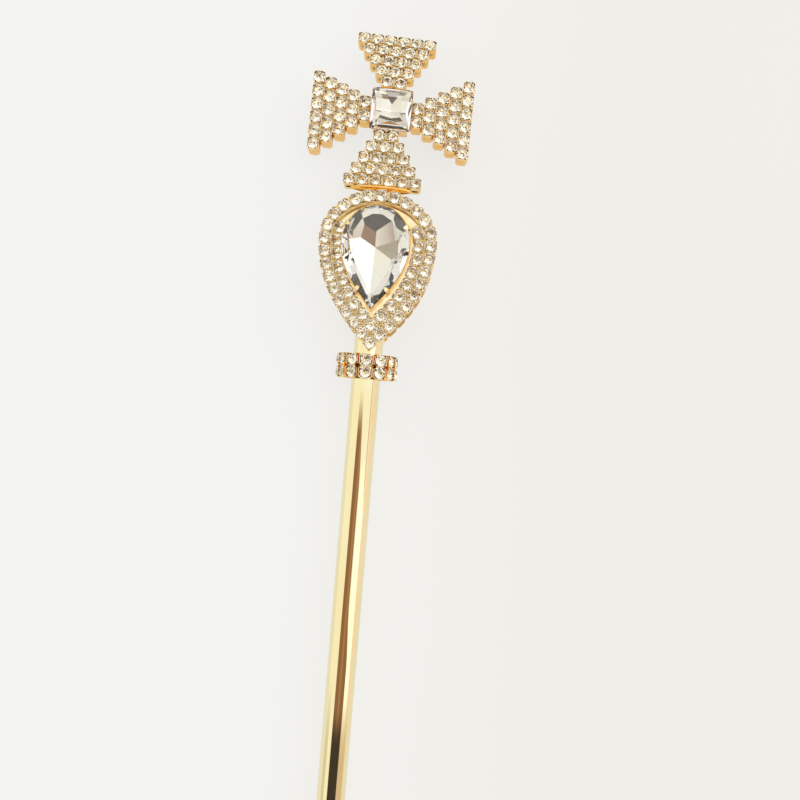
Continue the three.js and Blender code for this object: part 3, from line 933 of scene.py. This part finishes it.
class SCEPTRE_OT_panels(SceptreOperator):
    """Build the front and back drop-shaped panels"""

    bl_idname = "sceptre.panels"
    bl_label = "Panels"

    def execute(self, context):
        for name, facing in (("front_panel", 1), ("back_panel", -1)):
            chain = CupChain(name, name, PANEL_CUP_ROOT)
            base = HALF_DEPTH - chain.height
            for place, turn in panel_places(chain.pitch):
                seat = upright(place.x, place.y, facing * (base + chain.root), turn, facing)
                chain.add(seat)
                chain.add_link(seat @ Matrix.Translation((chain.pitch / 2, 0, 0)))
            edge = drop_outline(offset_drop(PANEL, -PANEL_EDGE_INSET), OUTLINE_STEPS)
            low, high = TUBE_RADIUS + JOINT_GAP, base + SLAB_OVERLAP
            slab = outline_slab(edge, *sorted((facing * low, facing * high)))
            add_part(chain.cups, slab, BACKING)
            between = (OUTER_ROW_INSET + INNER_ROW_INSET) / 2
            sides = [drop_outline(offset_drop(PANEL, half - between), OUTLINE_STEPS)
                     for half in (SOLDER_WIDTH / 2, -SOLDER_WIDTH / 2)]
            solder_z = base + chain.cup_depth - SOLDER_DIP
            add_part(chain.cups, ring_slab(*sides, *sorted((facing * low, facing * solder_z))), BACKING)
            if facing > 0:
                outer = drop_outline(offset_drop(PANEL, -between), OUTLINE_STEPS)
                inner = drop_outline(offset_drop(PEAR, PEAR_WALL - 0.2), OUTLINE_STEPS)
                # The ledge round the pear takes the pale rim gold too, a painted highlight.
                add_part(chain.cups, ring_slab(outer, inner, base, PANEL_LEDGE_Z), RIM)
            else:
                plate = outline_slab(drop_outline(PEAR, OUTLINE_STEPS), -HALF_DEPTH, -high)
                face = min(plate.faces, key=lambda f: f.calc_center_median().z)
                bmesh.ops.bevel(
                    plate, geom=list(face.edges), offset=PLATE_BEVEL, offset_type="OFFSET", segments=3,
                    profile=0.5, affect="EDGES", material=-1)
                add_part(chain.cups, plate, WALL)
            chain.finish()
        return {"FINISHED"}


class SCEPTRE_OT_cross_arms(SceptreOperator):
    """Build the cross's four arms, two layers back to back"""

    bl_idname = "sceptre.cross_arms"
    bl_label = "Cross arms"

    def execute(self, context):
        sizes = context.scene.sceptre_stones
        pitch = sizes.arm_pitch / MM
        for name, arm in ARMS.items():
            rows, turn = arm_rows(arm, pitch)
            along = Vector((math.cos(turn), math.sin(turn)))
            depth = abs(Vector(arm["step"]).dot(Vector((-along.y, along.x))))
            cup_size = (pitch - ARM_CUP_GAP, min(sizes.cup_width / MM, depth - SEAM))
            chain = CupChain(name, name, CROSS_CORE / 2 - SEAM / 2, cup_size)
            solder_depth = CROSS_CORE + 2 * (chain.cup_depth - chain.root - SOLDER_DIP)
            for row, stones in enumerate(rows):
                for index, p in enumerate(stones):
                    for facing in (1, -1):
                        chain.add(upright(p.x, p.y, facing * CROSS_CORE / 2, turn, facing))
                        if index:
                            q = p - along * pitch / 2
                            chain.add_link(upright(q.x, q.y, facing * CROSS_CORE / 2, turn, facing))
                middle = (stones[0] + stones[-1]) / 2
                length = (len(stones) - 1) * pitch + chain.cup_half
                if row:
                    joint = (middle + (rows[row - 1][0] + rows[row - 1][-1]) / 2) / 2
                    filler = turned_box(joint, turn, (length - pitch, SOLDER_WIDTH, solder_depth))
                    add_part(chain.cups, filler, BACKING)
                core = turned_box(middle, turn, (length, depth - SEAM, CROSS_CORE * 2))
                add_part(chain.cups, core, BACKING)
            chain.finish()
        return {"FINISHED"}


class SCEPTRE_OT_joint(SceptreOperator):
    """Build the lump of solder over the tube's top end, between the panel and the lower arm"""

    bl_idname = "sceptre.joint"
    bl_label = "Solder joint"

    def execute(self, context):
        bm = bmesh.new()
        place = Matrix.Translation(JOINT_CENTRE) @ Matrix.Diagonal((*JOINT_HALF_SIZE, 1.0))
        bmesh.ops.create_icosphere(bm, subdivisions=4, radius=1.0, matrix=place)
        finish_piece(bm, "solder_joint", ("wall_gold",), (), 40)
        return {"FINISHED"}


class SCEPTRE_OT_pear(SceptreOperator):
    """Build the pear crystal, its foil and its setting"""

    bl_idname = "sceptre.pear"
    bl_label = "Pear crystal"

    def execute(self, context):
        outline = drop_outline(PEAR, 8)
        girdle_top = PEAR_GIRDLE_Z + PEAR_GIRDLE
        lowest = Vector((*PEAR_CULET, PEAR_GIRDLE_Z - PEAR_PAVILION))
        stone = outline_slab(outline, lowest.z, girdle_top + PEAR_CROWN)
        for i in range(PEAR_CROWN_FACETS):
            azimuth = 2 * math.pi * (i + 0.5) / PEAR_CROWN_FACETS
            cut_sloped(stone, outline, PEAR_CULET, azimuth, math.radians(PEAR_CROWN_SLOPE), girdle_top)
            azimuth = 2 * math.pi * i / PEAR_CROWN_FACETS
            star_z = girdle_top + PEAR_STAR_RISE
            cut_sloped(stone, outline, PEAR_CULET, azimuth, math.radians(PEAR_STAR_SLOPE), star_z)
        for azimuth, slope in PEAR_MAIN_FACETS:
            cut_through(stone, lowest, math.radians(azimuth), math.radians(slope))
        for azimuth, slope in PEAR_BREAK_FACETS:
            azimuth, slope = math.radians(azimuth), math.radians(slope)
            cut_sloped(stone, outline, PEAR_CULET, azimuth, slope, PEAR_GIRDLE_Z, facing=-1)
        bmesh.ops.recalc_face_normals(stone, faces=stone.faces)
        foil_under(stone, "pear_crystal_foil")
        finish_piece(stone, "pear_crystal_cut", ("crystal_glass",), ("pear_crystal",))
        self.make_setting()
        return {"FINISHED"}

    @staticmethod
    def make_setting():
        bottom_z, rim_z = PEAR_TRAY["bottom_z"], PEAR_GIRDLE_Z - PEAR_TRAY["below_girdle"]
        outer = drop_outline(offset_drop(PEAR, PEAR_TRAY["out"]), OUTLINE_STEPS)
        bm = outline_slab(outer, bottom_z, rim_z)
        top = max(bm.faces, key=lambda f: f.calc_center_median().z)
        bmesh.ops.inset_individual(
            bm, faces=[top], thickness=PEAR_TRAY["wall"], depth=0.0, use_even_offset=True)
        bmesh.ops.inset_individual(
            bm, faces=[top], thickness=INNER_DRAFT, depth=-(rim_z - bottom_z - PEAR_TRAY["floor"]))
        finish_piece(bm, "pear_tray", ("wall_gold",), ("pear_setting",), 35)
        claws = bmesh.new()
        for y in PRONG_HEIGHTS_Y:
            for side in (-1, 1):
                add_claw(claws, side, y, rim_z)
        bmesh.ops.recalc_face_normals(claws, faces=claws.faces)
        # The claws take the pale rim gold, a painted highlight.
        finish_piece(claws, "pear_claws", ("rim_highlight_gold",), (), 40)


def add_claw(bm, side, y, rim_z):
    """A claw that rises from the tray's wall and bends in over the crystal's crown."""
    points = drop_outline(PEAR, FINE_OUTLINE_STEPS)
    near = [i for i, p in enumerate(points) if (p.x - PEAR["shift"]) * side > 1.0]
    index = min(near, key=lambda i: abs(points[i].y - y))
    foot, following = points[index], points[(index + 1) % len(points)]
    run = (following - foot).normalized()
    outward = Vector((run.y, -run.x))
    frame_turn = Matrix.Rotation(math.atan2(outward.y, outward.x), 4, "Z")
    base = foot + outward * CLAW_FOOT["out"]
    start = Matrix.Translation((*base, rim_z - CLAW_FOOT["below_rim"])) @ frame_turn
    section = Matrix.Diagonal((CLAW_FOOT["thickness"], CLAW_FOOT["width"], 1.0, 1.0))
    before = set(bm.faces)
    bmesh.ops.create_grid(bm, x_segments=1, y_segments=1, size=0.5, matrix=start @ section)
    face = next(f for f in bm.faces if f not in before)
    for out, rise, lean, narrow in CLAW_BENDS:
        grown = bmesh.ops.extrude_face_region(bm, geom=[face])
        face = next(g for g in grown["geom"] if isinstance(g, bmesh.types.BMFace))
        middle = face.calc_center_median()
        to_middle = frame_turn.inverted() @ Matrix.Translation(-middle)
        tilt = Matrix.Rotation(-math.radians(lean), 4, "Y") @ Matrix.Diagonal((1.0, narrow, 1.0, 1.0))
        bmesh.ops.transform(bm, matrix=to_middle.inverted() @ tilt @ to_middle, verts=face.verts)
        step = Vector((*(outward * out), rise))
        bmesh.ops.translate(bm, verts=face.verts, vec=step)


class SCEPTRE_OT_square(SceptreOperator):
    """Build the square crystal in the cross's middle, its foil and its setting"""

    bl_idname = "sceptre.square"
    bl_label = "Square crystal"

    def execute(self, context):
        rim_z = CROSS_CORE / 2 + SOLID_CUP_DEPTH + SOLID_STONE_RISE + JOINT_GAP
        girdle_z = rim_z + 0.1
        lowest = Vector((0, 0, girdle_z - SQUARE_PAVILION))
        half = SQUARE_SIDE / 2
        corners = [Vector((x * half, y * half)) for x, y in ((1, -1), (1, 1), (-1, 1), (-1, -1))]
        centre = Vector((0, 0))
        top = girdle_z + SQUARE_GIRDLE
        stone = outline_slab(corners, lowest.z, top + SQUARE_CROWN)
        corner_slope = math.radians(SQUARE_CORNER_SLOPE)
        for i in range(4):
            side, corner = math.radians(90 * i), math.radians(90 * i + 45)
            for turn, slope, rise, inset in SQUARE_CROWN_FACETS:
                azimuth = side + math.radians(turn)
                cut_sloped(stone, corners, centre, azimuth, math.radians(slope), top + rise, inset)
            under = math.radians(SQUARE_SIDE_SLOPES[i])
            cut_sloped(stone, corners, centre, side, under, girdle_z, 0.0, -1)
            cut_through(stone, lowest, corner, corner_slope)
        start = SQUARE_GENTLE_FACET["start"]
        depth = SQUARE_PAVILION - start * math.tan(corner_slope) / math.sqrt(2)
        cut_through(
            stone, Vector((0, start, girdle_z - depth)), math.radians(SQUARE_GENTLE_FACET["azimuth"]),
            math.radians(SQUARE_GENTLE_FACET["slope"]))
        bmesh.ops.recalc_face_normals(stone, faces=stone.faces)
        place = Matrix.Translation((*CROSS_CENTRE, 0)) @ Matrix.Rotation(math.radians(SQUARE_TURN), 4, "Z")
        bmesh.ops.transform(stone, matrix=place, verts=stone.verts)
        foil_under(stone, "square_crystal_foil")
        finish_piece(stone, "square_crystal_cut", ("crystal_glass",), ("square_crystal",))
        self.make_setting(place, rim_z)
        return {"FINISHED"}

    @staticmethod
    def make_setting(place, rim_z):
        stem, rim, spread = SQUARE_TRAY["stem"], SQUARE_TRAY["rim"], SQUARE_TRAY["spread"]
        plate_z = -(CROSS_CORE / 2 + SOLID_CUP_DEPTH + SOLID_STONE_RISE)
        corners = [(x * stem, y * stem) for x, y in ((1, -1), (1, 1), (-1, 1), (-1, -1))]
        bm = outline_slab(corners, plate_z, rim_z - rim)
        top = max(bm.faces, key=lambda f: f.calc_center_median().z)
        grown = bmesh.ops.extrude_discrete_faces(bm, faces=[top])["faces"][0]
        bmesh.ops.translate(bm, verts=grown.verts, vec=(0, 0, rim))
        bmesh.ops.scale(bm, vec=(spread, spread, 1.0), verts=grown.verts)
        bmesh.ops.inset_individual(bm, faces=[grown], thickness=SQUARE_TRAY["wall"], depth=0.0)
        bmesh.ops.inset_individual(
            bm, faces=[grown], thickness=SQUARE_TRAY["draft"], depth=-SQUARE_TRAY["depth"])
        under = min(bm.faces, key=lambda f: f.calc_center_median().z)
        bmesh.ops.bevel(
            bm, geom=list(under.edges), offset=PLATE_BEVEL, offset_type="OFFSET", segments=2,
            profile=0.5, affect="EDGES", material=-1)
        bmesh.ops.recalc_face_normals(bm, faces=bm.faces)
        bmesh.ops.transform(bm, matrix=place, verts=bm.verts)
        finish_piece(bm, "square_tray", ("wall_gold",), ("square_setting",), 30)


# ---------------------------------------------------------------- stage

# Soft-edged patches of the room: the angles across the tube between which each lies and how soft its
# sides are, in degrees; the shares along the tube between which it lies; and its tone. Later ones cover
# earlier ones. They are two windows, a peach-coloured wall, and darker things further off.
ROOM_PATCHES = (
    (26, 68, 3, -0.42, -0.12, (1.42, 1.40, 1.36)),
    (20, 62, 3, 0.05, 0.75, (1.6, 1.58, 1.5)),
    (72, 150, 4, -2.0, 2.0, (1.02, 0.76, 0.68)),
    (60, 66, 3, -0.16, 0.3, (0.50, 0.42, 0.34)),
    (-62, -30, 3, 0.12, 0.45, (0.42, 0.36, 0.26)),
    (34, 150, 3, -0.62, -0.44, (0.70, 0.55, 0.42)),
    (-100, -60, 3, -0.62, -0.42, (0.72, 0.68, 0.60)),
)
PATCH_SOFTNESS_ALONG = 0.04
PLAIN_TONE = (1.02, 1.01, 0.985)
CREAM_TONE = (1.0, 0.975, 0.87)
CREAM_SIDE = (-82, -24, 14)
BACKDROP_TONE = (0.90, 0.89, 0.86)
# The dark figure: the shares along the tube between which it lies; where its left side fades in and its
# right side begins, across the tube in radians; the shares along at which its right side steps further
# out, and by how much; and its tones: brown, a lighter brown strip, and nearly black beyond a line.
FIGURE_SPAN = (-0.72, -0.02)
FIGURE_LEFT = (-0.58, -0.50)
FIGURE_RIGHT = -0.06
FIGURE_STEPS = ((0.02, -0.14), (-0.29, -0.38))
FIGURE_STEP_WIDTH = 0.38
FIGURE_RIGHT_FADE = (-0.04, 0.06)
FIGURE_BROWN = (0.29, 0.15, 0.085)
FIGURE_STRIP = (0.42, 0.23, 0.13)
FIGURE_STRIP_SIDE = (-4, 10, 6)
FIGURE_BLACK = (0.055, 0.045, 0.038)
FIGURE_BLACK_FROM = (-0.42, -0.46)


def build_world(scene, strength):
    """Soft light from all round, with a dark figure over the tube and a brighter window to the right."""
    world = bpy.data.worlds.new("soft_room")
    scene.world = world
    world.use_nodes = True
    tree = world.node_tree
    tree.nodes.clear()
    link = tree.links.new
    output = tree.nodes.new("ShaderNodeOutputWorld")
    background = tree.nodes.new("ShaderNodeBackground")
    background.inputs["Strength"].default_value = strength
    link(background.outputs["Background"], output.inputs["Surface"])
    coordinates = tree.nodes.new("ShaderNodeTexCoord")
    split = tree.nodes.new("ShaderNodeSeparateXYZ")
    link(coordinates.outputs["Generated"], split.inputs["Vector"])

    def math_node(operation, *inputs):
        node = tree.nodes.new("ShaderNodeMath")
        node.operation = operation
        for i, value in enumerate(inputs):
            if isinstance(value, (int, float)):
                node.inputs[i].default_value = value
            else:
                link(value, node.inputs[i])
        return node.outputs["Value"]

    def smooth(value, low, high):
        node = tree.nodes.new("ShaderNodeMapRange")
        node.interpolation_type = "SMOOTHSTEP"
        node.inputs["From Min"].default_value = low
        node.inputs["From Max"].default_value = high
        link(value, node.inputs["Value"])
        return node.outputs["Result"]

    def mix(factor, low, high):
        node = tree.nodes.new("ShaderNodeMix")
        node.data_type = "RGBA"
        link(factor, node.inputs["Factor"])
        for socket, value in (("A", low), ("B", high)):
            if isinstance(value, tuple):
                node.inputs[socket].default_value = (*value, 1.0)
            else:
                link(value, node.inputs[socket])
        return node.outputs["Result"]

    x, along, z = split.outputs
    across = math_node("ARCTAN2", x, z)

    def band(value, low, high, soft):
        """1 between two values, falling off softly to 0 beyond them."""
        rising = smooth(value, low - soft, low + soft)
        return math_node("MULTIPLY", rising, smooth(value, high + soft, high - soft))

    def wedge(low, high, soft):
        """1 between two angles across the tube, in degrees."""
        return band(across, math.radians(low), math.radians(high), math.radians(soft))

    lit = mix(wedge(*CREAM_SIDE), PLAIN_TONE, CREAM_TONE)
    for low, high, soft, near, far, tone in ROOM_PATCHES:
        along_it = band(along, near, far, PATCH_SOFTNESS_ALONG)
        lit = mix(math_node("MULTIPLY", wedge(low, high, soft), along_it), lit, tone)
    right_edge = FIGURE_RIGHT
    for step in FIGURE_STEPS:
        right_edge = math_node("MULTIPLY_ADD", smooth(along, *step), FIGURE_STEP_WIDTH, right_edge)
    from_right = smooth(math_node("SUBTRACT", right_edge, across), *FIGURE_RIGHT_FADE)
    inside = math_node("MULTIPLY", from_right, smooth(across, *FIGURE_LEFT))
    figure = math_node("MULTIPLY", inside, band(along, *FIGURE_SPAN, PATCH_SOFTNESS_ALONG))
    brown = mix(wedge(*FIGURE_STRIP_SIDE), FIGURE_BROWN, FIGURE_STRIP)
    lit = mix(figure, lit, mix(smooth(along, *FIGURE_BLACK_FROM), brown, FIGURE_BLACK))
    path = tree.nodes.new("ShaderNodeLightPath")
    lit = mix(path.outputs["Is Camera Ray"], lit, BACKDROP_TONE)
    link(lit, background.inputs["Color"])


FLOOR_HALF_SIZE = 4.0


class SCEPTRE_OT_stage(SceptreOperator):
    """Build the pale floor, the soft light and the camera"""

    bl_idname = "sceptre.stage"
    bl_label = "Stage"

    def execute(self, context):
        scene = context.scene
        stage = scene.sceptre_stage
        bm = bmesh.new()
        bmesh.ops.create_grid(bm, x_segments=1, y_segments=1, size=FLOOR_HALF_SIZE)
        mesh = bpy.data.meshes.new("floor")
        bm.to_mesh(mesh)
        bm.free()
        material, shader = new_material("pale_floor")
        tree = material.node_tree
        cloud = object_noise(tree, 9.0)
        dusty = shade(stage.floor, 0.985)
        tint = blended(tree, ranged(tree, cloud.outputs["Fac"], 0.0, 1.0), stage.floor, dusty)
        tree.links.new(tint, shader.inputs["Base Color"])
        split = tree.nodes.new("ShaderNodeSeparateXYZ")
        coordinates = tree.nodes.new("ShaderNodeTexCoord")
        tree.links.new(coordinates.outputs["Object"], split.inputs["Vector"])
        side = ranged(tree, split.outputs["X"], 0.0, 1.0, *stage.glow_span)
        glow = blended(tree, side, stage.floor_glow, stage.floor_glow_right)
        tree.links.new(glow, shader.inputs["Emission Color"])
        shader.inputs["Roughness"].default_value = 0.75
        shader.inputs["Specular IOR Level"].default_value = 0.2
        shader.inputs["Emission Strength"].default_value = 1.0
        mesh.materials.append(material)
        floor = bpy.data.objects.new("floor", mesh)
        scene.collection.objects.link(floor)
        build_world(scene, stage.light)
        scene.view_settings.view_transform = "Standard"

        camera = bpy.data.cameras.new("camera")
        camera.lens = camera.sensor_width / 2 / math.tan(stage.camera_angle / 2)
        camera.clip_start = 0.005
        holder = bpy.data.objects.new("camera", camera)
        holder.location = (
            ORIGIN.x + stage.camera_across, ORIGIN.y + stage.camera_along, stage.camera_height)
        holder.rotation_euler = (0.0, 0.0, stage.camera_roll)
        scene.collection.objects.link(holder)
        scene.camera = holder
        return {"FINISHED"}


# ---------------------------------------------------------------- panel and registration

STEPS = (
    SCEPTRE_OT_stage,
    SCEPTRE_OT_tube,
    SCEPTRE_OT_knob,
    SCEPTRE_OT_collar,
    SCEPTRE_OT_panels,
    SCEPTRE_OT_joint,
    SCEPTRE_OT_pear,
    SCEPTRE_OT_cross_arms,
    SCEPTRE_OT_square,
)


class SCEPTRE_PT_panel(bpy.types.Panel):
    """Lists the settings and the building steps"""

    bl_idname = "SCEPTRE_PT_panel"
    bl_label = "Sceptre"
    bl_space_type = "VIEW_3D"
    bl_region_type = "UI"
    bl_category = "Sceptre"

    def draw(self, context):
        layout = self.layout
        scene = context.scene
        for group in (scene.sceptre_stones, scene.sceptre_finish, scene.sceptre_stage):
            box = layout.box()
            for name in group.__annotations__:
                box.prop(group, name)
        for step in STEPS:
            layout.operator(step.bl_idname)


CLASSES = (
    SceptreStoneSettings, SceptreFinishSettings, SceptreStageSettings, *STEPS, SCEPTRE_PT_panel,
)


def register():
    """Registers the classes and hangs the settings on the scene."""
    for cls in CLASSES:
        bpy.utils.register_class(cls)
    bpy.types.Scene.sceptre_stones = PointerProperty(type=SceptreStoneSettings)
    bpy.types.Scene.sceptre_finish = PointerProperty(type=SceptreFinishSettings)
    bpy.types.Scene.sceptre_stage = PointerProperty(type=SceptreStageSettings)


def unregister():
    """Takes the settings and the classes away again."""
    del bpy.types.Scene.sceptre_stage
    del bpy.types.Scene.sceptre_finish
    del bpy.types.Scene.sceptre_stones
    for cls in reversed(CLASSES):
        bpy.utils.unregister_class(cls)


def main():
    """Builds the whole sceptre."""
    register()
    for step in STEPS:
        group, name = step.bl_idname.split(".")
        getattr(getattr(bpy.ops, group), name)()


if __name__ == "__main__":
    main()
